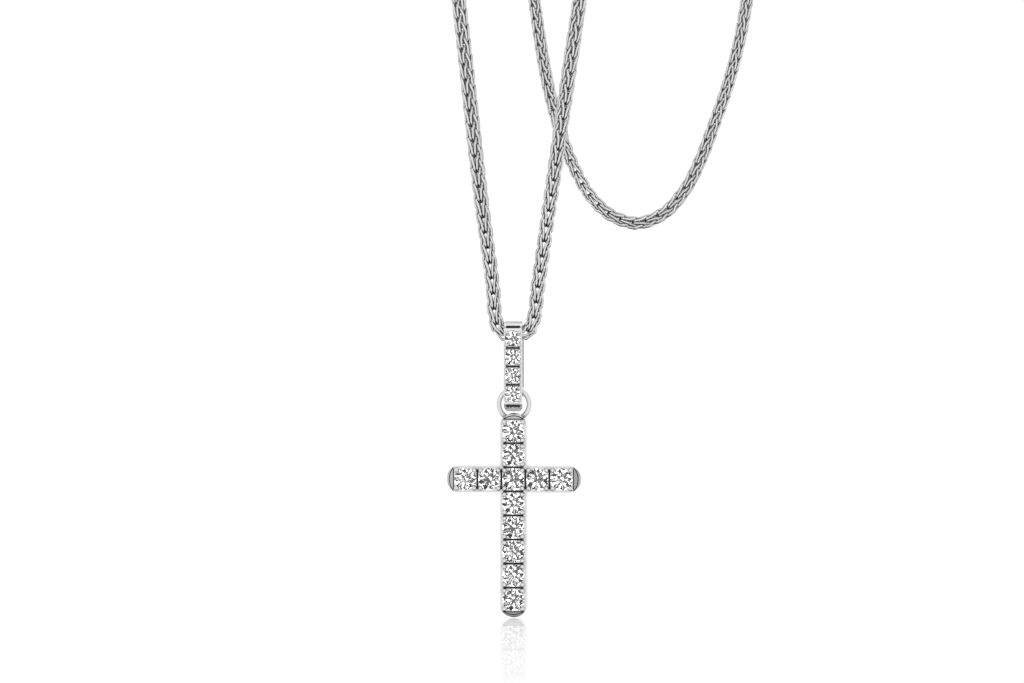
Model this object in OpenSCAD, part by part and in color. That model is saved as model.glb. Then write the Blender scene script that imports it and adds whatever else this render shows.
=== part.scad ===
// A cross pendant set with round stones, hanging by a stone-set bail on a fine wheat chain.
// Millimetres. +Z is up and the pendant faces -Y. The necklace hangs over a level rail that
// runs along X, and the origin is on the rail's axis.

/* [Cross] */
// Diameter of each round stone in the cross
stone_d = 2.05; // [1.8:0.05:2.4]
// Space between neighbouring stones of the cross
stone_gap = 0.15; // [0.12:0.01:0.25]
// Metal rail beside the stones
rail_w = 0.17; // [0.12:0.01:0.3]
// Depth of the cross from front to back, without the stones
bar_t = 1.9; // [1.7:0.05:2.4]
// Metal past the last stone at the top and the foot
upright_end = 0.62; // [0.5:0.02:0.9]
// Metal past the last stone of each arm
arm_end = 0.74; // [0.5:0.02:0.9]
// Height of the arc that rounds each end
end_sag = 0.88; // [0.5:0.01:0.95]
// Slope of the polished facet at each end, in degrees
end_slope = 38; // [25:1:50]
// Length of the steep facet at each tip, seen from the front
tip_bevel = 0.12; // [0.08:0.01:0.16]
// Slope of the steep facet at each tip, in degrees
tip_slope = 65; // [55:1:72]
// Rim outside the curved line that is engraved in each end facet
rim_w = 0.28; // [0.24:0.01:0.36]
// Width of the engraved lines
engrave_w = 0.1; // [0.08:0.01:0.18]
// Depth of the engraved lines
engrave_deep = 0.1; // [0.08:0.02:0.2]
// Bevel along the back edges
back_bevel = 0.25; // [0.1:0.05:0.4]

/* [Claws and seats] */
// Diameter of a claw on the cross
claw_d = 0.42; // [0.36:0.02:0.48]
// Diameter of a claw on the bail
bail_claw_d = 0.32; // [0.28:0.02:0.36]
// Height of the claws above the girdles, as a share of the stone's crown
claw_rise = 0.9; // [0.7:0.05:1.1]
// How far the girdles sit below the rails
girdle_sink = 0.05; // [0.02:0.01:0.1]
// Clearance between a stone and its seat
seat_play = 0.03; // [0.02:0.005:0.05]
// Width of the cut lines between the stones; those past the last stones are as thin as engraving
cut_w = 0.18; // [0.1:0.01:0.2]
// Depth of the cut lines and of the bail's grooves
cut_deep = 0.4; // [0.2:0.05:0.5]
// Diameter of the hole behind each stone of the cross
azure_d = 0.9; // [0.6:0.05:1.1]

/* [Ring] */
// Wire of the ring on top of the cross
ring_wire = 0.46; // [0.38:0.02:0.56]
// Height of the ring's opening where the bail's sides pass through it
ring_open = 1.6; // [1.4:0.05:2]
// Running clearance between ring and bail
ring_play = 0.1; // [0.08:0.01:0.15]

/* [Bail] */
// Diameter of each round stone in the bail
bail_stone_d = 1.42; // [1.3:0.02:1.6]
// Space between neighbouring stones of the bail
bail_stone_gap = 0.26; // [0.2:0.01:0.34]
// Metal rail beside the stones of the bail
bail_rail = 0.12; // [0.1:0.01:0.25]
// Wall over the chain and down the back
bail_wall = 0.47; // [0.35:0.01:0.6]
// Metal behind the points of the stones
bail_floor = 0.2; // [0.15:0.01:0.4]
// How far the first stone sits below the chain's axis
bail_lead = 0.43; // [0.3:0.01:0.6]
// Height of the arcs that round the bail's ends, seen from the side
bail_sag = 1.15; // [1:0.01:1.3]
// Radius that rounds the corners of the bail's cap, seen from the front
cap_r = 0.22; // [0.1:0.01:0.25]
// Radius that rounds the corners of the bail's foot, seen from the front
foot_r = 0.45; // [0.2:0.01:0.6]
// Plain metal between the end stones and the groove beyond them
groove_gap = 0.37; // [0.3:0.01:0.45]
// Width of the grooves at the ends of the stone row
groove_w = 0.24; // [0.12:0.01:0.24]

/* [Chain and clasp] */
// Thickness of the chain
chain_d = 1.3; // [1:0.05:1.6]
// Running clearance between chain and bail
chain_play = 0.1; // [0.06:0.01:0.2]
// Diameter of the barrel clasp
clasp_d = 2.9; // [2.4:0.1:3.6]
// Wall of the clasp round the chain's ends
clasp_wall = 0.35; // [0.25:0.05:0.5]
// How deep each end of the chain sits in the clasp
clasp_cup = 1; // [0.6:0.1:1.5]

/* [Hidden] */
$fn = 48;

CROSS_STONES = [for (i = [1 : 12]) str("cross_stone_", i < 10 ? "0" : "", i)];
BAIL_STONES = [for (i = [1 : 4]) str("bail_stone_", i)];

// Route of the chain, as [x, y, z]: down the right of the back loop and up its left, over the
// rail, down the left front strand, through the bail, up the right front strand, over the rail
// and down to the clasp.
ROUTE = [
    [25.8, 18, -20], [24.9, 18, -30], [23.8, 18, -40], [22.4, 18, -50], [21.4, 18, -55.5],
    [20.2, 18, -60], [18.8, 18, -64], [17.4, 18, -67.7], [15.7, 18, -71], [13.4, 18, -73.5],
    [10.6, 18, -74.5], [7.8, 18, -73.6], [5.6, 18, -71.5], [3.9, 18, -68.5], [2.4, 18, -64.5],
    [1.2, 18, -60], [0.3, 18, -55], [-0.4, 18, -50], [-1.7, 18, -40], [-2.8, 18, -30],
    [-3.8, 18, -20], [-4.6, 18, -10], [-5.2, 18, 0], [-5.9, 16.6, 6.9], [-7, 12.7, 12.7],
    [-8.3, 6.9, 16.6], [-9.6, 0, 18], [-10.8, -6.9, 16.6], [-11.6, -12.7, 12.7],
    [-11.9, -16.6, 6.9], [-11.5, -18, 0], [-9.2, -18, -20], [-6.9, -18, -40], [-4.6, -18, -60],
    [-2.9, -18, -75], [-1.95, -18, -82], [-1.6, -18, -85.4], [-1.43, -18, -85.9],
    [-1.1, -18, -86.3], [-0.6, -18, -86.4], [0, -18, -86.4], [0.6, -18, -86.4],
    [1.1, -18, -86.3], [1.5, -18, -85.9], [1.7, -18, -85.4], [2.2, -18, -82],
    [3.2, -18, -75], [5.4, -18, -60], [8.4, -18, -40], [11.3, -18, -20], [14.3, -18, 0],
    [15.7, -16.6, 6.9], [17.5, -12.7, 12.7], [19.6, -6.9, 16.6], [21.8, 0, 18],
    [23.8, 6.9, 16.6], [25.4, 12.7, 12.7], [26.4, 16.6, 6.9], [26.8, 18, 0], [26.3, 18, -12]
];
TUBE_SIDES = 8;

// The pendant hangs at the lowest point of the front strands.
hang = [0, min([for (p = ROUTE) p[1]]), min([for (p = ROUTE) p[2]])];

// A round brilliant, as shares of its radius and as slopes in degrees
TABLE = 0.57;
STAR = 0.787;
LOWER = 0.24;
GIRDLE = 0.06;
CROWN_SLOPE = 34.5;
PAVILION_SLOPE = 40.8;
// Turn between one stone and the next, in degrees
STONE_TURN = 17;

function crown_h(d) = d / 2 * (1 - TABLE) * tan(CROWN_SLOPE);
function girdle_h(d) = d / 2 * GIRDLE;
function pavilion_h(d) = d / 2 * tan(PAVILION_SLOPE);

// Places of the cross's stones, as [columns, rows] from the crossing
CROSS_SEATS = concat([for (row = [2 : -1 : -5]) [0, row]], [for (col = [-2, -1, 1, 2]) [col, 0]]);
top_row = max([for (s = CROSS_SEATS) s[1]]);
foot_row = -min([for (s = CROSS_SEATS) s[1]]);
arm_cols = max([for (s = CROSS_SEATS) s[0]]);

pitch = stone_d + stone_gap;
bar_w = stone_d + 2 * rail_w;
reach_up = top_row * pitch + stone_d / 2 + upright_end;
reach_down = foot_row * pitch + stone_d / 2 + upright_end;
reach_side = arm_cols * pitch + stone_d / 2 + arm_end;
front = bar_t / 2;
girdle_z = front - girdle_sink;
crown = crown_h(stone_d);

// How far a claw stands from its stone's centre, along the row and across it, and how far a
// cut line reaches across the row, as shares of the stone's radius
CLAW_SHARE = 0.8;
CUT_SHARE = 0.9;
// Radius of the curved line in each end facet
LINE_R = 1.4;
// Margin by which a cutter runs past what it cuts
over = 0.5;

bail_pitch = bail_stone_d + bail_stone_gap;
bail_w = bail_stone_d + 2 * bail_rail;
bail_drop = (len(BAIL_STONES) - 1) * bail_pitch;
bail_sink = girdle_sink / 2;
bail_front_t = bail_sink + girdle_h(bail_stone_d) + pavilion_h(bail_stone_d) + bail_floor;
chain_hole_r = chain_d / 2 + chain_play;
bail_front = chain_hole_r + bail_front_t;
bail_back = chain_hole_r + bail_wall;
bail_mid_y = (bail_back - bail_front) / 2;
bail_half = (bail_back + bail_front) / 2;
bail_top = chain_hole_r + bail_wall;
bail_crown = crown_h(bail_stone_d);

// The ring hangs from the centre of its top wire, which is drop_z below the chain's axis. Its
// inside just clears the corners of the bail's foot.
ring_in = norm([bail_w / 2, ring_open / 2]);
ring_r = ring_in + ring_wire / 2;
ring_hole_r = ring_r - ring_open / 2 + ring_play;
foot_reach = ring_r + ring_open / 2 - ring_play;
drop_z = -bail_drop;
bail_end_r = (bail_half * bail_half + bail_sag * bail_sag) / (2 * bail_sag);
foot_z = drop_z - sqrt(pow(foot_reach - bail_end_r, 2) - pow(bail_mid_y, 2)) - bail_end_r;
cross_top_z = drop_z - ring_r - ring_open / 2;
cross_z = cross_top_z - reach_up;

// Turns a shape drawn face up, with its front towards +Z, to face -Y.
module face_front() rotate([90, 0, 0]) children();

// A bar's outline along X, w wide, with its two ends rounded to arcs of height sag.
module round_ended(back, ahead, w, sag) {
    r = (w * w / 4 + sag * sag) / (2 * sag);
    difference() {
        translate([-back, -w / 2]) square([back + ahead, w]);
        for (end = [[1, ahead], [-1, back]])
            scale([end[0], 1])
                difference() {
                    translate([end[1] - sag * 1.2, -w]) square([sag * 2, 2 * w]);
                    translate([end[1] - r, 0]) circle(r);
                }
    }
}

// A round brilliant with 57 facets, its girdle's top edge at z = 0 and its table up.
module brilliant(d) {
    r = d / 2;
    crown_top = crown_h(d);
    girdle_low = -girdle_h(d);
    deep = pavilion_h(d);
    star_z = crown_top * (1 - STAR * cos(22.5)) / (1 - TABLE);
    lower_z = girdle_low - deep * (1 - LOWER * cos(22.5));
    points = concat(
        [for (k = [0 : 7]) [r * TABLE * cos(45 * k), r * TABLE * sin(45 * k), crown_top]],
        [for (k = [0 : 7]) [r * STAR * cos(45 * k + 22.5), r * STAR * sin(45 * k + 22.5), star_z]],
        [for (j = [0 : 15]) [r * cos(22.5 * j), r * sin(22.5 * j), 0]],
        [for (j = [0 : 15]) [r * cos(22.5 * j), r * sin(22.5 * j), girdle_low]],
        [for (k = [0 : 7]) [r * LOWER * cos(45 * k + 22.5), r * LOWER * sin(45 * k + 22.5), lower_z]],
        [[0, 0, girdle_low - deep]]
    );
    table = 0;
    star = 8;
    girdle = 16;
    low = 32;
    lower = 48;
    culet = 56;
    faces = concat(
        [[for (k = [7 : -1 : 0]) table + k]],
        [for (k = [0 : 7]) [table + k, table + (k + 1) % 8, star + k]],
        [for (k = [0 : 7]) [table + k, star + k, girdle + 2 * k, star + (k + 7) % 8]],
        [for (k = [0 : 7]) [star + k, girdle + 2 * k + 1, girdle + 2 * k]],
        [for (k = [0 : 7]) [star + k, girdle + (2 * k + 2) % 16, girdle + 2 * k + 1]],
        [for (j = [0 : 15]) [girdle + j, girdle + (j + 1) % 16, low + (j + 1) % 16, low + j]],
        [for (k = [0 : 7]) [low + 2 * k, low + 2 * k + 1, lower + k]],
        [for (k = [0 : 7]) [low + 2 * k + 1, low + (2 * k + 2) % 16, lower + k]],
        [for (k = [0 : 7]) [low + 2 * k, lower + k, culet, lower + (k + 7) % 8]]
    );
    polyhedron(points = points, faces = faces, convexity = 2);
}

// The space that a stone takes, its seat's clearance included.
module seat(d) {
    r = d / 2;
    deep = girdle_h(d) + pavilion_h(d) + seat_play / cos(PAVILION_SLOPE);
    shoulder = seat_play * (1 / cos(PAVILION_SLOPE) - tan(PAVILION_SLOPE));
    brow = seat_play * (1 / cos(CROWN_SLOPE) - tan(CROWN_SLOPE));
    rotate_extrude()
        polygon([
            [0, -deep], [r + seat_play, -girdle_h(d) - shoulder], [r + seat_play, brow],
            [r * TABLE + seat_play, crown_h(d) + seat_play], [0, crown_h(d) + seat_play]
        ]);
}

// A claw: a post from z = -root up to z = rise, with a domed tip.
module claw(d, root, rise) {
    dome_r = 0.54 * d;
    rotate_extrude()
        translate([0, -root])
            difference() {
                square([d / 2, root + rise]);
                difference() {
                    translate([-d, root + rise - 0.75 * dome_r]) square([2 * d, dome_r]);
                    translate([0, root + rise - dome_r]) circle(dome_r);
                }
            }
}

// The four claws at the corners of a stone's cell.
module corner_claws(stone, d, root, rise)
    for (x = [-1, 1], y = [-1, 1])
        translate([x, y, 0] * CLAW_SHARE * stone / 2) claw(d, root, rise);

// A straight cut along X, w wide, into a face at z = 0, beside a stone of the given diameter.
module cut_line(stone, w)
    translate([-CUT_SHARE * stone / 2, -w / 2, -cut_deep])
        cube([CUT_SHARE * stone, w, cut_deep + over]);

// What a facet takes off a bar's end, above a slope that falls away from x and z.
module facet(x, z, slope)
    translate([x, 0, z])
        rotate([0, slope, 0])
            translate([0, -bar_w, 0]) cube([2 * bar_w, 2 * bar_w, bar_t]);

// The curved line engraved in an end facet, drawn with the facet level from x = 0 to its tip.
module engraved_line(tip) {
    start = (pitch - stone_d) / 2;
    intersection() {
        translate([tip - rim_w - LINE_R, 0, -engrave_deep])
            difference() {
                cylinder(r = LINE_R, h = engrave_deep + over);
                translate([0, 0, -over]) cylinder(r = LINE_R - engrave_w, h = engrave_deep + 3 * over);
            }
        translate([start, -bar_w, -bar_t]) cube([bar_w, 2 * bar_w, 2 * bar_t]);
    }
}

// One bar of the cross along X, face up: seats are cut later. Its row of stones runs from
// -back to +ahead, in pitches, and the metal past the last ones is end long.
module bar(back, ahead, end) {
    from = back * pitch + stone_d / 2 + end;
    to = ahead * pitch + stone_d / 2 + end;
    half = bar_w / 2;
    difference() {
        translate([0, 0, -front]) linear_extrude(bar_t) round_ended(from, to, bar_w, end_sag);
        for (side = [-1, 1])
            translate([(to - from) / 2, side * half, -front])
                rotate([45, 0, 0])
                    cube([from + to + 2 * over, back_bevel * sqrt(2), back_bevel * sqrt(2)],
                         center = true);
        for (side = [[1, to], [-1, from]])
            scale([side[0], 1, 1]) {
                facet(side[1] - end, front, end_slope);
                translate([side[1] - end, 0, front])
                    rotate([0, end_slope, 0]) engraved_line(end / cos(end_slope));
                facet(side[1] - tip_bevel, front - (end - tip_bevel) * tan(end_slope), tip_slope);
            }
    }
}

// The cross's metal in one soldered piece, face up with the crossing at the origin.
module cross_metal() {
    difference() {
        union() {
            rotate(90) bar(foot_row, top_row, upright_end);
            bar(arm_cols, arm_cols, arm_end);
            for (s = CROSS_SEATS)
                translate([s[0] * pitch, s[1] * pitch, girdle_z])
                    corner_claws(stone_d, claw_d, front, claw_rise * crown);
            translate([0, reach_up + ring_open / 2, 0])
                rotate_extrude() translate([ring_r, 0]) circle(ring_wire / 2);
        }
        for (s = CROSS_SEATS)
            translate([s[0] * pitch, s[1] * pitch, girdle_z]) {
                seat(stone_d);
                translate([0, 0, -bar_t - over]) cylinder(d = azure_d, h = bar_t);
            }
        for (row = [-foot_row - 0.5 : top_row + 0.5])
            translate([0, row * pitch, front])
                cut_line(stone_d, row > -foot_row && row < top_row ? cut_w : engrave_w);
        for (col = [-arm_cols - 0.5 : arm_cols + 0.5])
            translate([col * pitch, 0, front])
                rotate(90) cut_line(stone_d, abs(col) < arm_cols ? cut_w : engrave_w);
    }
}

module cross_setting() color("gainsboro") translate(hang + [0, 0, cross_z]) face_front() cross_metal();

module cross_stone(i)
    color("lightcyan")
        translate(hang + [CROSS_SEATS[i][0] * pitch, -girdle_z, cross_z + CROSS_SEATS[i][1] * pitch])
            face_front() rotate(i * STONE_TURN) brilliant(stone_d);

// Outline of the bail's hollow in Y and Z: a round hole for the chain, a round hole for the
// ring, and a slot between them that is a little narrower than both.
module bail_hollow() {
    waist = 0.02;
    circle(chain_hole_r);
    translate([0, drop_z]) circle(ring_hole_r);
    polygon([
        [-chain_hole_r + waist, 0], [chain_hole_r - waist, 0],
        [ring_hole_r - waist, drop_z], [-ring_hole_r + waist, drop_z]
    ]);
}

// Where the bail's front lies at height z, on the arcs that round its ends.
function bail_face_y(z, arc_z) = bail_mid_y - sqrt(pow(bail_end_r, 2) - pow(z - arc_z, 2));

// Groove across the front of the bail at height z, on the arc of one of its ends.
module bail_groove(z, arc_z)
    translate([0, bail_face_y(z, arc_z), z]) face_front() cut_line(bail_stone_d, groove_w);

// What rounds the bail's corner at x and z, seen from the front, with its metal below it where
// up is 1 and above it where up is -1.
module corner_cut(x, z, up, r)
    translate([x, 0, z])
        scale([sign(x), 1, up])
            rotate([90, 0, 0])
                linear_extrude(4 * bail_half, center = true)
                    translate([-r, -r])
                        difference() {
                            square(r + over);
                            circle(r);
                        }

// The bail's metal, with the chain's axis through the origin along X.
module bail_metal() {
    first_z = -bail_lead;
    last_z = first_z - bail_drop;
    flare = 0.18;
    difference() {
        union() {
            translate([-bail_w / 2, 0, 0])
                rotate([90, 0, 90])
                    linear_extrude(bail_w)
                        difference() {
                            translate([bail_mid_y, 0])
                                rotate(90) round_ended(-foot_z, bail_top, 2 * bail_half, bail_sag);
                            bail_hollow();
                        }
            for (k = [0 : len(BAIL_STONES) - 1])
                translate([0, -bail_front + bail_sink, first_z - k * bail_pitch])
                    face_front()
                        corner_claws(bail_stone_d, bail_claw_d, bail_front_t / 2,
                                     claw_rise * bail_crown);
        }
        for (k = [0 : len(BAIL_STONES) - 1])
            translate([0, -bail_front + bail_sink, first_z - k * bail_pitch])
                face_front() seat(bail_stone_d);
        for (k = [0.5 : len(BAIL_STONES) - 1.5])
            translate([0, -bail_front, first_z - k * bail_pitch])
                face_front() cut_line(bail_stone_d, cut_w);
        bail_groove(first_z + bail_stone_d / 2 + groove_gap, bail_top - bail_end_r);
        bail_groove(last_z - bail_stone_d / 2 - groove_gap, foot_z + bail_end_r);
        for (side = [-1, 1]) {
            corner_cut(side * bail_w / 2, bail_top, 1, cap_r);
            corner_cut(side * bail_w / 2, foot_z, -1, foot_r);
            translate([side * (bail_w / 2 - flare), 0, 0])
                rotate([0, side * 90, 0])
                    cylinder(r1 = chain_hole_r - 0.01, r2 = chain_hole_r + 2 * flare, h = 2 * flare);
        }
    }
}

module bail_setting() color("silver") translate(hang) bail_metal();

module bail_stone(i)
    color("lightcyan")
        translate(hang + [0, -bail_front + bail_sink, -bail_lead - i * bail_pitch])
            face_front() rotate(i * STONE_TURN) brilliant(bail_stone_d);

function unit(v) = v / norm(v);

// Direction of the route at point i, from the point before it to the point after it
function along(i) = unit(ROUTE[min(i + 1, len(ROUTE) - 1)] - ROUTE[max(i - 1, 0)]);

// The two directions across the route at point i: away from the rail's side, and square to that
function away(i) =
    let (p = ROUTE[i], t = along(i), out = unit([0, p[1], max(p[2], 0)]))
    unit(out - t * (t * out));

// The chain's whole run as one tube of its outer thickness.
module chain() {
    last = len(ROUTE) - 1;
    points = [
        for (i = [0 : last])
            let (n = away(i), side = cross(along(i), n))
            for (k = [0 : TUBE_SIDES - 1])
                let (a = 360 / TUBE_SIDES * (k + 0.5))
                ROUTE[i] + chain_d / 2 * (cos(a) * n + sin(a) * side)
    ];
    faces = concat(
        [[for (k = [0 : TUBE_SIDES - 1]) k]],
        [
            for (i = [0 : last - 1])
                for (k = [0 : TUBE_SIDES - 1])
                    let (here = i * TUBE_SIDES, next = here + TUBE_SIDES, j = (k + 1) % TUBE_SIDES)
                    for (f = [[next + k, next + j, here + j], [next + k, here + j, here + k]]) f
        ],
        [[for (k = [TUBE_SIDES - 1 : -1 : 0]) last * TUBE_SIDES + k]]
    );
    color("silver") polyhedron(points = points, faces = faces, convexity = 10);
}

// A plain barrel clasp between the chain's two ends, which sit in its cups.
module clasp() {
    start = ROUTE[0];
    run = ROUTE[len(ROUTE) - 1] - start;
    inner = norm(run);
    cup_r = chain_d / 2 + chain_play;
    collar_r = cup_r + clasp_wall;
    body_r = max(clasp_d / 2, collar_r + clasp_wall);
    taper = 0.6;
    floor_gap = chain_play / 2;
    color("silver")
        translate(start)
            rotate([0, atan2(run[0], run[2]), 0])
                difference() {
                    rotate_extrude()
                        polygon([
                            [0, -clasp_cup], [collar_r, -clasp_cup], [collar_r, 0],
                            [body_r, taper], [body_r, inner / 2 - 0.1], [body_r - 0.1, inner / 2],
                            [body_r, inner / 2 + 0.1], [body_r, inner - taper],
                            [collar_r, inner], [collar_r, inner + clasp_cup], [0, inner + clasp_cup]
                        ]);
                    translate([0, 0, -clasp_cup - over])
                        cylinder(r = cup_r, h = clasp_cup + over + floor_gap);
                    translate([0, 0, inner - floor_gap])
                        cylinder(r = cup_r, h = clasp_cup + over + floor_gap);
                }
}

cross_setting();
bail_setting();
chain();
clasp();
for (i = [0 : len(CROSS_STONES) - 1]) cross_stone(i);
for (i = [0 : len(BAIL_STONES) - 1]) bail_stone(i);
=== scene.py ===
# %% [markdown]
# # A cross pendant on a wheat chain
#
# The pendant is white metal set with round stones. Its settings, stones and clasp come from
# the CAD model with their real shape, so they only need good materials here. What the CAD
# model simplifies is the chain: there it is a smooth tube, and the real one is several
# hundred small loops of wire. This script makes those loops, then the finishes, the floor
# and the light. Blender works in metres. The chain is worked out in millimetres, the unit of
# its maker, and turned into metres at the end. The pendant faces -Y.

# %% Load the frame
import math

import bpy
import numpy as np
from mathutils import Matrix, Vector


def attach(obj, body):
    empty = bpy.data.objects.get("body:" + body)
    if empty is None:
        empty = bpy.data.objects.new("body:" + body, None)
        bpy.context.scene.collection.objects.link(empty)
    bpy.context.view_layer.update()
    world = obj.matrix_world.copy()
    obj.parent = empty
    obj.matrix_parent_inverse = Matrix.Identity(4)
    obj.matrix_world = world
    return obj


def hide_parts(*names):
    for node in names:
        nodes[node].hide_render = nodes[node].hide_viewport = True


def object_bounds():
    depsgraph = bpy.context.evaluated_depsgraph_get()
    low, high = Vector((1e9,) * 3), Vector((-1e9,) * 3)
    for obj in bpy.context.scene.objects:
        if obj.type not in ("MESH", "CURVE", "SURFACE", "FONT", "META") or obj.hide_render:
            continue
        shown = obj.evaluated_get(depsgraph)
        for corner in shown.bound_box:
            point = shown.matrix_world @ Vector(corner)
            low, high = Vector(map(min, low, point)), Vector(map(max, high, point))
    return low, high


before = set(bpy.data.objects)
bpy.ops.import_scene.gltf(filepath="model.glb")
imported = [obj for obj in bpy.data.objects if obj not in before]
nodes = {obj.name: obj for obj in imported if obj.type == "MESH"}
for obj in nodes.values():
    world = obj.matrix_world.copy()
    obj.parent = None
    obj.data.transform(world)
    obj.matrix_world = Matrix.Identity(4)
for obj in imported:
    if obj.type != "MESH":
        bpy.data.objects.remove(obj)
cad_box = [list(corner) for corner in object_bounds()]
MM = 0.001

# %% [markdown]
# ## The camera
#
# A small piece of jewellery is photographed from some way off with a long lens, so that its
# near and far parts keep their true proportions. The camera is level, because the sides of
# the bail and the cross stay parallel, and it stands a little to the right of the pendant.

# %% Place the camera
AIM = np.array([-0.19, -18.0, -87.08]) * MM  # the point in the middle of the picture
DISTANCE = 0.221
TURN = math.radians(4)  # about the upright through that point, to the right
SENSOR_WIDTH = 36  # millimetres, as the focal length is
FOCAL_LENGTH = 84.7
NEAREST_SEEN = 0.01

lens = bpy.data.cameras.new("camera")
lens.sensor_width = SENSOR_WIDTH
lens.lens = FOCAL_LENGTH
lens.clip_start = NEAREST_SEEN
camera = bpy.data.objects.new("camera", lens)
camera.location = AIM + DISTANCE * np.array([math.sin(TURN), -math.cos(TURN), 0])
camera.rotation_euler = (math.radians(90), 0, TURN)
bpy.context.scene.collection.objects.link(camera)
bpy.context.scene.camera = camera
print("camera", round(DISTANCE / MM), "mm from the pendant, with a", FOCAL_LENGTH, "mm lens")

# %% [markdown]
# ## The run of the chain
#
# The chain hangs over a level rail: two front strands run down to the pendant, and the rest
# hangs behind as a slack loop. Its route is a short list of given points, the same
# ones that the CAD model's tube follows. A curve object could join them, but the links need
# to know the curve's direction at every place, so the curve is worked out as arrays.

# %% Points of the route, in millimetres
ROUTE = np.array([
    [25.8, 18, -20], [24.9, 18, -30], [23.8, 18, -40], [22.4, 18, -50], [21.4, 18, -55.5],
    [20.2, 18, -60], [18.8, 18, -64], [17.4, 18, -67.7], [15.7, 18, -71], [13.4, 18, -73.5],
    [10.6, 18, -74.5], [7.8, 18, -73.6], [5.6, 18, -71.5], [3.9, 18, -68.5], [2.4, 18, -64.5],
    [1.2, 18, -60], [0.3, 18, -55], [-0.4, 18, -50], [-1.7, 18, -40], [-2.8, 18, -30],
    [-3.8, 18, -20], [-4.6, 18, -10], [-5.2, 18, 0], [-5.9, 16.6, 6.9], [-7, 12.7, 12.7],
    [-8.3, 6.9, 16.6], [-9.6, 0, 18], [-10.8, -6.9, 16.6], [-11.6, -12.7, 12.7],
    [-11.9, -16.6, 6.9], [-11.5, -18, 0], [-9.2, -18, -20], [-6.9, -18, -40], [-4.6, -18, -60],
    [-2.9, -18, -75], [-1.95, -18, -82], [-1.6, -18, -85.4], [-1.43, -18, -85.9],
    [-1.1, -18, -86.3], [-0.6, -18, -86.4], [0, -18, -86.4], [0.6, -18, -86.4],
    [1.1, -18, -86.3], [1.5, -18, -85.9], [1.7, -18, -85.4], [2.2, -18, -82],
    [3.2, -18, -75], [5.4, -18, -60], [8.4, -18, -40], [11.3, -18, -20], [14.3, -18, 0],
    [15.7, -16.6, 6.9], [17.5, -12.7, 12.7], [19.6, -6.9, 16.6], [21.8, 0, 18],
    [23.8, 6.9, 16.6], [25.4, 12.7, 12.7], [26.4, 16.6, 6.9], [26.8, 18, 0], [26.3, 18, -12],
])
print(len(ROUTE), "points on the route")

# %% A smooth curve through the points
CURVE_PLACES = 9000


def smooth_curve(points, count):
    """Cubic pieces through the points, each mixed from its two ends and the slopes there. The
    slope at a point is the mean of the slopes on its two sides, each weighted by the length
    of the other side, so that long and short stretches meet without a bulge. Returns count
    places, evenly spaced as measured on the straight lines between the points, and the
    direction of the curve at each."""
    gap = np.linalg.norm(np.diff(points, axis=0), axis=1)
    reach = np.concatenate([[0], np.cumsum(gap)])
    slope = np.diff(points, axis=0) / gap[:, None]
    before, after = gap[:-1, None], gap[1:, None]
    middle = (after * slope[:-1] + before * slope[1:]) / (before + after)
    slope = np.concatenate([slope[:1], middle, slope[-1:]])
    at = np.linspace(0, reach[-1], count)
    piece = np.clip(np.searchsorted(reach, at, side="right") - 1, 0, len(gap) - 1)
    t = ((at - reach[piece]) / gap[piece])[:, None]
    size = gap[piece][:, None]
    start, end = points[piece], points[piece + 1]
    leaving, arriving = slope[piece] * size, slope[piece + 1] * size
    place = (2 * t**3 - 3 * t**2 + 1) * start + (t**3 - 2 * t**2 + t) * leaving
    place += (3 * t**2 - 2 * t**3) * end + (t**3 - t**2) * arriving
    way = (
        (6 * t**2 - 6 * t) * (start - end)
        + (3 * t**2 - 4 * t + 1) * leaving
        + (3 * t**2 - 2 * t) * arriving
    )
    return place, way / np.linalg.norm(way, axis=1)[:, None]


line, heading = smooth_curve(ROUTE, CURVE_PLACES)
run = np.concatenate([[0], np.cumsum(np.linalg.norm(np.diff(line, axis=0), axis=1))])
print("the chain is", round(run[-1], 1), "mm long without its clasp")

# %% Which way is outward along the chain
# Above the rail's axis it is straight away from the axis, and below it is to the front or
# the back. Then the share that runs along the chain is taken off.
outward = np.stack([0 * run, line[:, 1], np.maximum(line[:, 2], 0)], axis=1)
outward /= np.linalg.norm(outward, axis=1)[:, None]
outward -= (outward * heading).sum(axis=1)[:, None] * heading
outward /= np.linalg.norm(outward, axis=1)[:, None]
print("outward is known at", len(outward), "places of the chain")

# %% [markdown]
# ## One link of a wheat chain
#
# A wheat chain is woven from closed loops of wire. Each loop is pinched to a narrow waist and
# folded up at its middle, like a hairpin, so that its two ends stand up as a pair of ears.
# The waist of the next loop goes through both ears, and so on. That makes one row of loops in
# one plane. A second row, turned a quarter round the chain and half a pitch further on, is
# woven through the first. From outside the ears give nested V shapes, like an ear of wheat.
# The loop could be drawn by hand as a curve, but a few waves added together give the same
# shape, and their sizes are easy to change until the wires lie beside each other and the row
# of V shapes has the photograph's spacing and its white points.

# %% The wire's centre line, in millimetres
STEPS = 18
SIDES = 4
WIRE = 0.27
PITCH = 1.41
OUTWARD_WAVES = [(1, 0.550), (3, -0.246)]  # turns made in going once round the loop, size
SIDEWAYS_WAVES = [(1, 0.225), (3, 0.180), (5, 0.130), (7, 0.051)]
ALONG_WAVES = [(2, 0.987), (4, 0.028)]
FOOT_DEPTH = 0.959  # from the middle of the waves along the chain to the loop's foot


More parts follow.
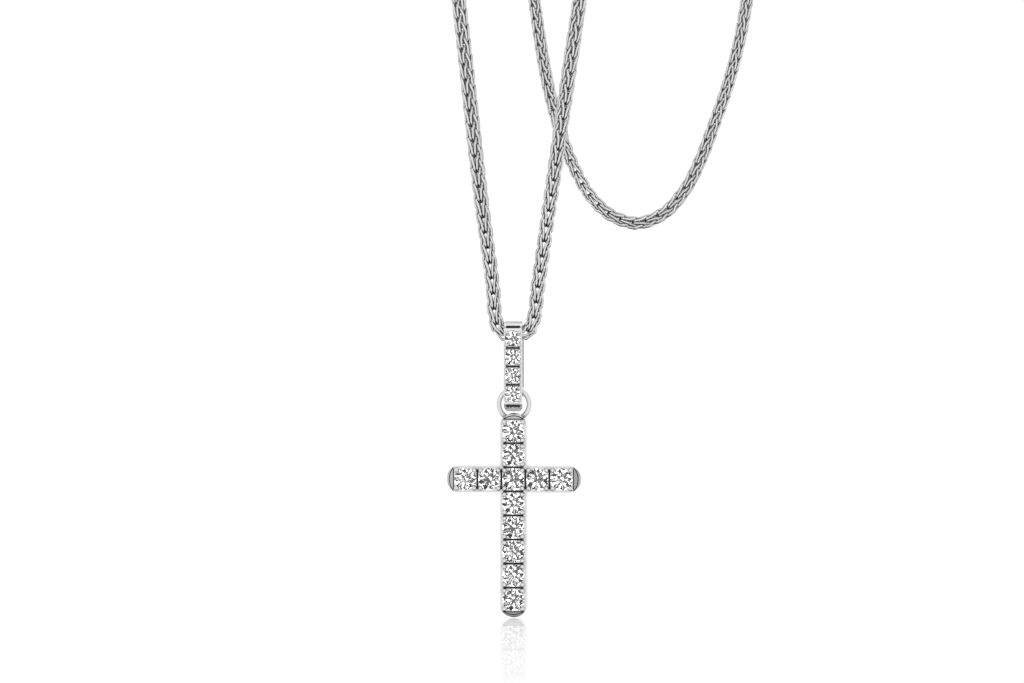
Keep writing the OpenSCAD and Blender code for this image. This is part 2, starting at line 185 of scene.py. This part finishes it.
def link_line(steps):
    """A closed line. Its three coordinates are sums of waves round the loop: outward is
    cosines of 1 and 3 turns, which carries the wire across and then up beside the chain;
    sideways is sines of 1, 3, 5 and 7 turns, which gives a narrow foot and wide ears; and
    along the chain is cosines of 2 and 4 turns, which folds the loop double."""
    t = np.linspace(0, 2 * np.pi, steps, endpoint=False)
    across = sum(size * np.cos(turns * t) for turns, size in OUTWARD_WAVES)
    sideways = sum(size * np.sin(turns * t) for turns, size in SIDEWAYS_WAVES)
    along = sum(size * np.cos(turns * t) for turns, size in ALONG_WAVES)
    return np.stack([across, sideways, along + FOOT_DEPTH], axis=1)


def tube_round(path, radius, sides):
    """A ring of points round each place of a closed path. The first direction of each ring
    points away from the middle of the path, made square to it, and the second is square to
    both. Returns an array of places, ring by ring."""
    way = np.roll(path, -1, axis=0) - np.roll(path, 1, axis=0)
    way /= np.linalg.norm(way, axis=1)[:, None]
    away = path - path.mean(axis=0)
    away -= (away * way).sum(axis=1)[:, None] * way
    away /= np.linalg.norm(away, axis=1)[:, None]
    other = np.cross(way, away)
    turn = np.linspace(0, 2 * np.pi, sides, endpoint=False)[None, :, None]
    return path[:, None] + radius * (np.cos(turn) * away[:, None] + np.sin(turn) * other[:, None])


centre_line = link_line(STEPS)
link = tube_round(centre_line, WIRE / 2, SIDES)
LINK_LENGTH = centre_line[:, 2].max()
print("a link's centre line is", round(LINK_LENGTH, 2), "mm long; faces:", STEPS * SIDES)

# %% [markdown]
# ## All the links
#
# The links stand half a pitch apart, each turned a quarter from the last. Copies of one mesh
# would stay straight, but here the strand bends tightly at the bail, so each point of each
# link is carried along the curve instead: its height becomes a distance along the chain, and
# its two other coordinates are laid off square to it. The strand also turns slowly about
# itself, as a real chain does. Both strands grow away from the bail, as in the photograph,
# and hook into each other inside it.

# %% Carry the links along the chain
TURN_FROM = 9.0  # millimetres from the bail to where the slow turn starts
TURN_PER_MM = math.radians(45) / 26  # an eighth of a turn in 26 mm
LEVEL = 0.001  # millimetres above the lowest point that still count as level with it
hang = run[line[:, 2] < line[:, 2].min() + LEVEL].mean()  # the middle of the bail


def read_along(at, values):
    """The values, given for every place of the curve, at the distances at along the chain."""
    return np.stack([np.interp(at, run, values[:, axis]) for axis in range(3)], axis=-1)


def grow_links(way):
    """Links from the bail towards one end of the chain, way being +1 or -1 along the route.
    Every point is turned about the chain by a quarter turn for each link and a slow twist
    that grows with its distance, then placed: the curve's place, plus its outward share and
    its sideways share. The first link starts half a wire's thickness before the middle of
    the bail, so that the two strands hook into each other."""
    length = (run[-1] - hang) if way > 0 else hang
    first = -WIRE / 2
    count = int((length - first - LINK_LENGTH) / (PITCH / 2)) + 1
    start = first + np.arange(count) * PITCH / 2
    quarter = (np.arange(count) + (way < 0)) % 2 * math.pi / 2
    far = start[:, None, None] + link[None, :, :, 2]
    spin = quarter[:, None, None] + way * TURN_PER_MM * np.maximum(far - TURN_FROM, 0)
    out = link[None, :, :, 0] * np.cos(spin) - link[None, :, :, 1] * np.sin(spin)
    aside = link[None, :, :, 0] * np.sin(spin) + link[None, :, :, 1] * np.cos(spin)
    at = hang + way * far
    normal = read_along(at, outward)
    across = np.cross(way * read_along(at, heading), normal)
    return read_along(at, line) + out[..., None] * normal + aside[..., None] * across


links = np.concatenate([grow_links(1), grow_links(-1)])
print(len(links), "links placed, the first ones", round(hang, 1), "mm along the route")

# %% Make one piece of them


def ring_faces(count, steps, sides):
    """Four-sided faces for count closed tubes, each joining a point to the next in its ring
    and to the same two in the next ring, in the order that turns the face outwards."""
    counts = (np.arange(count), np.arange(steps), np.arange(sides))
    tube, ring, side = np.meshgrid(*counts, indexing="ij")
    here = tube * steps * sides + ring * sides
    next_ring = tube * steps * sides + (ring + 1) % steps * sides
    turned = (side + 1) % sides
    corners = [here + side, here + turned, next_ring + turned, next_ring + side]
    return np.stack(corners, -1).reshape(-1, 4)


def new_piece(name, places, faces):
    """Puts places in metres and faces into a new smooth object at the origin."""
    mesh = bpy.data.meshes.new(name)
    mesh.from_pydata(places.reshape(-1, 3).tolist(), [], faces)
    mesh.shade_smooth()
    piece = bpy.data.objects.new(name, mesh)
    bpy.context.scene.collection.objects.link(piece)
    return piece


chain = new_piece("chain_links", links * MM, ring_faces(len(links), STEPS, SIDES).tolist())
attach(chain, "root")
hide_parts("chain")
print(len(links), "links,", 2 * len(chain.data.polygons), "triangles")

# %% [markdown]
# ## Materials by nodes
#
# Each finish is a small tree of nodes that ends in one Principled shader. A value that is
# the same all over goes straight on the shader's socket. A value that varies comes from a
# noise texture that reads Object coordinates, so that it sits still on the piece.

# %% Helpers for the node trees


def new_finish(name):
    """A material with an empty tree but for its Principled shader."""
    material = bpy.data.materials.new(name)
    material.use_nodes = True
    return material, material.node_tree, material.node_tree.nodes["Principled BSDF"]


def add(tree, kind, **settings):
    """A node of the given kind. Settings with a capital go to its sockets, others to itself."""
    made = tree.nodes.new("ShaderNode" + kind)
    for key, value in settings.items():
        if key[0].isupper():
            made.inputs[key.replace("_", " ")].default_value = value
        else:
            setattr(made, key, value)
    return made


def join(tree, *pairs):
    """Joins sockets in pairs, the output of one node to the input of another."""
    for start, end in pairs:
        tree.links.new(start, end)


def noise_to(tree, scale, low, high, detail=3.0):
    """Noise on Object coordinates, with scale patches to the metre. Nearly all of its values
    lie between 0.3 and 0.7, and this range is spread between low and high."""
    place = add(tree, "TexCoord")
    noise = add(tree, "TexNoise", Scale=scale, Detail=detail)
    spread = add(tree, "MapRange", From_Min=0.3, From_Max=0.7, To_Min=low, To_Max=high)
    join(
        tree,
        (place.outputs["Object"], noise.inputs["Vector"]),
        (noise.outputs["Fac"], spread.inputs["Value"]),
    )
    return noise, spread


# %% [markdown]
# ## Polished white gold
#
# White gold is plated with rhodium and polished to a mirror. What tells the eye that it is
# real is not colour but three small things: edges that are rounded by polishing and catch a
# thin light, a surface that waves by a few micrometres, and a faint haze of fine wheel marks
# where the cloth doesn't reach as well. The Bevel node rounds the edges in the shader alone,
# so the CAD mesh stays as it is. In the narrow cuts between the stones the colour is painted
# dark, as painted shade that draws each cut as a dark line. The Ambient Occlusion
# node measures how open a point is to what surrounds it, so it finds those cuts by itself.

# %% White gold for the settings, the clasp and the links
GOLD_TONE = (0.76, 0.755, 0.755, 1)
# The colour painted into narrow cuts as shade: a painted shade, not a colour of the metal
PAINTED_SHADE_TONE = (0.03, 0.03, 0.032, 1)
SHADE_DARKEST_AT = 0.5  # openness at which the painted shade is darkest
SHADE_GONE_AT = 0.85  # openness at which the painted shade is gone and the metal has its full tone
HAZE_PATCHES = 1800
HAZE = (0.05, 0.13)  # least and most roughness
WAVE_PATCHES = 700
WAVE_HEIGHT = 0.04 * MM
WAVE_STRENGTH = 0.06
RAYS = 6


def white_gold(name, edge, shade_reach):
    """A mirror-like metal. Its normal comes from edges rounded to the radius edge, then from
    a long soft wave. Its roughness varies between nearly none and a light haze, and its
    colour is painted down to a dark grey, as shade, in cuts narrower than about the given reach."""
    material, tree, shader = new_finish(name)
    shader.inputs["Metallic"].default_value = 1
    # Painted shade: the openness from this node darkens the colour in the cuts
    openness = add(tree, "AmbientOcclusion", samples=RAYS, only_local=True, Distance=shade_reach)
    painted_shade = add(tree, "ValToRGB")
    shaded_stop, unshaded_stop = painted_shade.color_ramp.elements
    shaded_stop.position, shaded_stop.color = SHADE_DARKEST_AT, PAINTED_SHADE_TONE
    unshaded_stop.position, unshaded_stop.color = SHADE_GONE_AT, GOLD_TONE
    _, haze = noise_to(tree, HAZE_PATCHES, *HAZE)
    wave, _ = noise_to(tree, WAVE_PATCHES, 0, 1, detail=1)
    bump = add(tree, "Bump", Strength=WAVE_STRENGTH, Distance=WAVE_HEIGHT)
    join(
        tree,
        (openness.outputs["AO"], painted_shade.inputs["Fac"]),
        (painted_shade.outputs["Color"], shader.inputs["Base Color"]),
        (haze.outputs["Result"], shader.inputs["Roughness"]),
        (wave.outputs["Fac"], bump.inputs["Height"]),
        (bump.outputs["Normal"], shader.inputs["Normal"]),
    )
    if edge:
        rounding = add(tree, "Bevel", samples=RAYS, Radius=edge)
        tree.links.new(rounding.outputs["Normal"], bump.inputs["Normal"])
    return material


# Painted shade reaches 0.8 mm into the cuts of the settings and 0.2 mm between the wires
setting_gold = white_gold("polished_white_gold", edge=0.02 * MM, shade_reach=0.8 * MM)
link_gold = white_gold("drawn_white_gold_wire", edge=0, shade_reach=0.2 * MM)
chain.data.materials.append(link_gold)
print("white gold for", setting_gold.name, "and", link_gold.name)

# %% [markdown]
# ## The stones
#
# A clear brilliant-cut stone shows hardly any light through its back. Light that enters the
# front is reflected by the slanted facets below and leaves by the front again, so each facet
# is either bright or dark. No texture gives that. The facets are in the CAD model, and a
# shader that lets all light in, with diamond's high index of refraction, does the rest.

# %% Clear stone
REFRACTION = 2.417
TINT_PATCHES = 600
COOL_TINT = (0.95, 0.97, 1, 1)
NO_TINT = (1, 1, 1, 1)


def clear_stone():
    """Full transmission with a polished surface. A faint cool unevenness tints the body."""
    material, tree, shader = new_finish("clear_brilliant_stone")
    shader.inputs["Transmission Weight"].default_value = 1
    shader.inputs["IOR"].default_value = REFRACTION
    shader.inputs["Roughness"].default_value = 0
    noise, _ = noise_to(tree, TINT_PATCHES, 0, 1)
    tint = add(tree, "ValToRGB")
    tint.color_ramp.elements[0].color = COOL_TINT
    tint.color_ramp.elements[1].color = NO_TINT
    join(
        tree,
        (noise.outputs["Fac"], tint.inputs["Fac"]),
        (tint.outputs["Color"], shader.inputs["Base Color"]),
    )
    return material


stone = clear_stone()
print("the stones have an index of refraction of", REFRACTION)

# %% Give every CAD node its finish
for name, node in nodes.items():
    finish = stone if "stone" in name else setting_gold
    for slot in node.material_slots:
        slot.material = finish
print("finished", len(nodes), "CAD nodes")

# %% [markdown]
# ## Floor and panel
#
# The pendant hangs just above a pale glossy table that gives a faint mirror image, strongest
# at the cross's foot and gone a few centimetres away. A large glossy floor would also shine on
# the pendant from below and take the dark out of its facets. So the floor is there for the
# camera alone, and all other light passes through it. A wide soft panel overhead brightens
# what faces up: the bail's cap, the ring and the tops of the arms.

# %% The floor's disc
FLOOR_HEIGHT = cad_box[0][2] - 0.06 * MM
FLOOR_REACH = 0.09
FLOOR_RINGS = 8
FLOOR_SPOKES = 48


def floor_disc(rings, spokes):
    """A flat disc: rings of points whose radius grows with the square of the ring's number,
    closed by a fan at the centre."""
    radius = FLOOR_REACH * (np.arange(1, rings + 1) / rings) ** 2
    turn = np.linspace(0, 2 * np.pi, spokes, endpoint=False)
    x = np.concatenate([[0], np.outer(radius, np.cos(turn)).ravel()])
    y = np.concatenate([[0], np.outer(radius, np.sin(turn)).ravel()])
    places = np.stack([x, y, 0 * x + FLOOR_HEIGHT], axis=1)
    step = np.arange(spokes)
    following = (step + 1) % spokes
    fan = np.stack([0 * step, 1 + step, 1 + following], axis=1)
    inner = np.arange(rings - 1)[:, None] * spokes + 1
    outer = inner + spokes
    corners = [inner + step, outer + step, outer + following, inner + following]
    return places, fan.tolist() + np.stack(corners, -1).reshape(-1, 4).tolist()


floor = new_piece("floor", *floor_disc(FLOOR_RINGS, FLOOR_SPOKES))
print("floor at", round(FLOOR_HEIGHT / MM, 2), "mm")

# %% The floor's finish
FADE = 62 * MM  # from below the pendant to where nothing is mirrored any more
MIRROR = (0.5, 0.5, 0.5, 1)
MIRROR_ROUGHNESS = 0.04
MIRROR_GLOW = 0.51  # with the white room that it mirrors, this comes to white
PLAIN_GLOW = 1.03


def pale_table():
    """Below the pendant a grey mirror with a glow of its own, and further out a plain glow.
    The share of the plain one is the square root of the distance over FADE. Only rays from
    the camera meet it, and all others pass."""
    material = bpy.data.materials.new("pale_table")
    material.use_nodes = True
    tree = material.node_tree
    tree.nodes.remove(tree.nodes["Principled BSDF"])
    glow = add(tree, "Emission", Strength=MIRROR_GLOW)
    mirror = add(tree, "BsdfAnisotropic", Color=MIRROR, Roughness=MIRROR_ROUGHNESS)
    polished = add(tree, "AddShader")
    plain = add(tree, "Emission", Strength=PLAIN_GLOW)
    place = add(tree, "TexCoord")
    distance = add(tree, "VectorMath", operation="DISTANCE")
    distance.inputs[1].default_value = (0, AIM[1], FLOOR_HEIGHT)
    share = add(tree, "MapRange", From_Max=FADE)
    root = add(tree, "Math", operation="SQRT")
    top = add(tree, "MixShader")
    nothing = add(tree, "BsdfTransparent")
    ray = add(tree, "LightPath")
    choice = add(tree, "MixShader")
    join(
        tree,
        (glow.outputs["Emission"], polished.inputs[0]),
        (mirror.outputs["BSDF"], polished.inputs[1]),
        (place.outputs["Object"], distance.inputs[0]),
        (distance.outputs["Value"], share.inputs["Value"]),
        (share.outputs["Result"], root.inputs[0]),
        (root.outputs["Value"], top.inputs["Fac"]),
        (polished.outputs["Shader"], top.inputs[1]),
        (plain.outputs["Emission"], top.inputs[2]),
        (ray.outputs["Is Camera Ray"], choice.inputs["Fac"]),
        (nothing.outputs["BSDF"], choice.inputs[1]),
        (top.outputs["Shader"], choice.inputs[2]),
        (choice.outputs["Shader"], tree.nodes["Material Output"].inputs["Surface"]),
    )
    return material


floor.data.materials.append(pale_table())
print("the mirror image fades out over", round(FADE / MM), "mm")

# %% A soft panel above
PANEL_SIDE = 0.45
PANEL_HEIGHT = 0.58
PANEL_GLOW = 0.12

light = bpy.data.lights.new("panel_above", "AREA")
light.shape = "SQUARE"
light.size = PANEL_SIDE
light.energy = PANEL_GLOW * math.pi * PANEL_SIDE**2
panel = bpy.data.objects.new("panel_above", light)
panel.location = AIM + np.array([0, 0, PANEL_HEIGHT])
panel.visible_camera = False
bpy.context.scene.collection.objects.link(panel)
print("a panel of", round(light.energy, 3), "watts")

# %% [markdown]
# ## The room that the pendant reflects
#
# Polished metal and cut stones show nothing but their surroundings, and a jeweller's
# photographer builds them on purpose: white screens with black card between them. A few area
# lights could stand for the screens, but a stone reflects the whole room at once, so the room
# is painted on the world instead, as rings round the direction that the pendant faces. The
# camera itself sees plain white.
#
# Stones and metal want different rooms. Light that has been through a stone meets narrow rings
# of strong white and black, which sparkle, and they are cut by a few dark sectors, so that
# stones turned differently look different. The metal meets softer rings, grey where the slopes
# of the facets look, with one dark patch below and behind it that lines the cross's foot.

# %% Where the room is bright and dark
ROOM_FOR_STONES = [  # degrees away from straight in front of the pendant, brightness
    (0, 1.0), (9, 1.0), (11, 0.0), (24, 0.0), (26, 2.6), (44, 2.6), (46, 0.0), (57, 0.0),
    (59, 2.4), (72, 2.4), (74, 0.0), (82, 0.0), (84, 2.0), (115, 2.0), (122, 0.1), (148, 0.1),
    (152, 1.0), (180, 1.0),
]
ROOM_FOR_METAL = [
    (0, 0.95), (50, 1.1), (60, 1.1), (66, 0.5), (80, 0.5), (86, 1.1), (114, 1.1), (120, 0.75),
    (146, 0.75), (152, 1.0), (180, 1.0),
]
SECTORS = [  # share of a full turn about the pendant's front, brightness
    (0, 1.0), (0.09, 0.0), (0.13, 1.0), (0.31, 0.0), (0.36, 1.0), (0.55, 0.0), (0.58, 1.0),
    (0.74, 0.0), (0.79, 1.0), (0.95, 0.0),
]
PATCH_TOWARD = (0, 0.45, -0.893)
PATCH = [(0.5, 1.0), (0.7, 0.7), (0.85, 0.5), (0.93, 0.03)]  # cosine of the angle to it, brightness
CAMERA_WHITE = 1.05
print(len(ROOM_FOR_STONES), "stops for the stones,", len(ROOM_FOR_METAL), "for the metal")

# %% Paint the room


def grey_ramp(tree, stops, kind="LINEAR"):
    """A colour ramp of greys, from pairs of a place between 0 and 1 and a brightness. All
    places are set before the first colour, so that each colour goes to its own place."""
    made = add(tree, "ValToRGB")
    made.color_ramp.interpolation = kind
    elements = made.color_ramp.elements
    while len(elements) < len(stops):
        elements.new(1)
    for element, (place, level) in zip(elements, stops):
        element.position = place
    for element, (place, level) in zip(elements, stops):
        element.color = (level, level, level, 1)
    return made


def rings_ramp(tree, stops):
    """A ramp of greys for rings, whose places are given in degrees from 0 to 180."""
    return grey_ramp(tree, [(degrees / 180, level) for degrees, level in stops])


def paint_room(tree):
    """Rings are a ramp of the angle to the pendant's front: the arc cosine of the direction's
    share that way, over half a turn. For stones they are multiplied by a ramp of the turn
    about that direction, and for metal by a ramp of the direction's share towards the patch.
    Rays that have been through a stone get the first, and rays from the camera plain white."""
    seen = tree.nodes["Background"]
    seen.inputs["Color"].default_value = (1, 1, 1, 1)
    seen.inputs["Strength"].default_value = CAMERA_WHITE
    room = add(tree, "Background", Strength=1.0)
    direction = add(tree, "TexCoord")
    ahead = add(tree, "VectorMath", operation="DOT_PRODUCT")
    ahead.inputs[1].default_value = (0, -1, 0)
    angle = add(tree, "Math", operation="ARCCOSINE")
    share = add(tree, "Math", operation="DIVIDE")
    share.inputs[1].default_value = math.pi
    stone_rings = rings_ramp(tree, ROOM_FOR_STONES)
    metal_rings = rings_ramp(tree, ROOM_FOR_METAL)
    parts = add(tree, "SeparateXYZ")
    flat = add(tree, "CombineXYZ")
    turn = add(tree, "TexGradient", gradient_type="RADIAL")
    sectors = grey_ramp(tree, SECTORS, "CONSTANT")
    dimmed = add(tree, "VectorMath", operation="MULTIPLY")
    below = add(tree, "VectorMath", operation="DOT_PRODUCT")
    below.inputs[1].default_value = PATCH_TOWARD
    patch = grey_ramp(tree, PATCH)
    patched = add(tree, "VectorMath", operation="MULTIPLY")
    either = add(tree, "Mix", data_type="VECTOR")
    ray = add(tree, "LightPath")
    choice = add(tree, "MixShader")
    join(
        tree,
        (direction.outputs["Generated"], ahead.inputs[0]),
        (ahead.outputs["Value"], angle.inputs[0]),
        (angle.outputs["Value"], share.inputs[0]),
        (share.outputs["Value"], stone_rings.inputs["Fac"]),
        (share.outputs["Value"], metal_rings.inputs["Fac"]),
        (direction.outputs["Generated"], parts.inputs["Vector"]),
        (parts.outputs["X"], flat.inputs["X"]),
        (parts.outputs["Z"], flat.inputs["Y"]),
        (flat.outputs["Vector"], turn.inputs["Vector"]),
        (turn.outputs["Fac"], sectors.inputs["Fac"]),
        (stone_rings.outputs["Color"], dimmed.inputs[0]),
        (sectors.outputs["Color"], dimmed.inputs[1]),
        (direction.outputs["Generated"], below.inputs[0]),
        (below.outputs["Value"], patch.inputs["Fac"]),
        (metal_rings.outputs["Color"], patched.inputs[0]),
        (patch.outputs["Color"], patched.inputs[1]),
        (ray.outputs["Is Transmission Ray"], either.inputs["Factor"]),
        (patched.outputs["Vector"], either.inputs[4]),
        (dimmed.outputs["Vector"], either.inputs[5]),
        (either.outputs[1], room.inputs["Color"]),
        (ray.outputs["Is Camera Ray"], choice.inputs["Fac"]),
        (room.outputs["Background"], choice.inputs[1]),
        (seen.outputs["Background"], choice.inputs[2]),
        (choice.outputs["Shader"], tree.nodes["World Output"].inputs["Surface"]),
    )


world = bpy.data.worlds.new("world")
bpy.context.scene.world = world
world.use_nodes = True
paint_room(world.node_tree)
bpy.context.scene.view_settings.view_transform = "Standard"  # keeps white screens white
print("the room has", len(world.node_tree.nodes), "nodes")
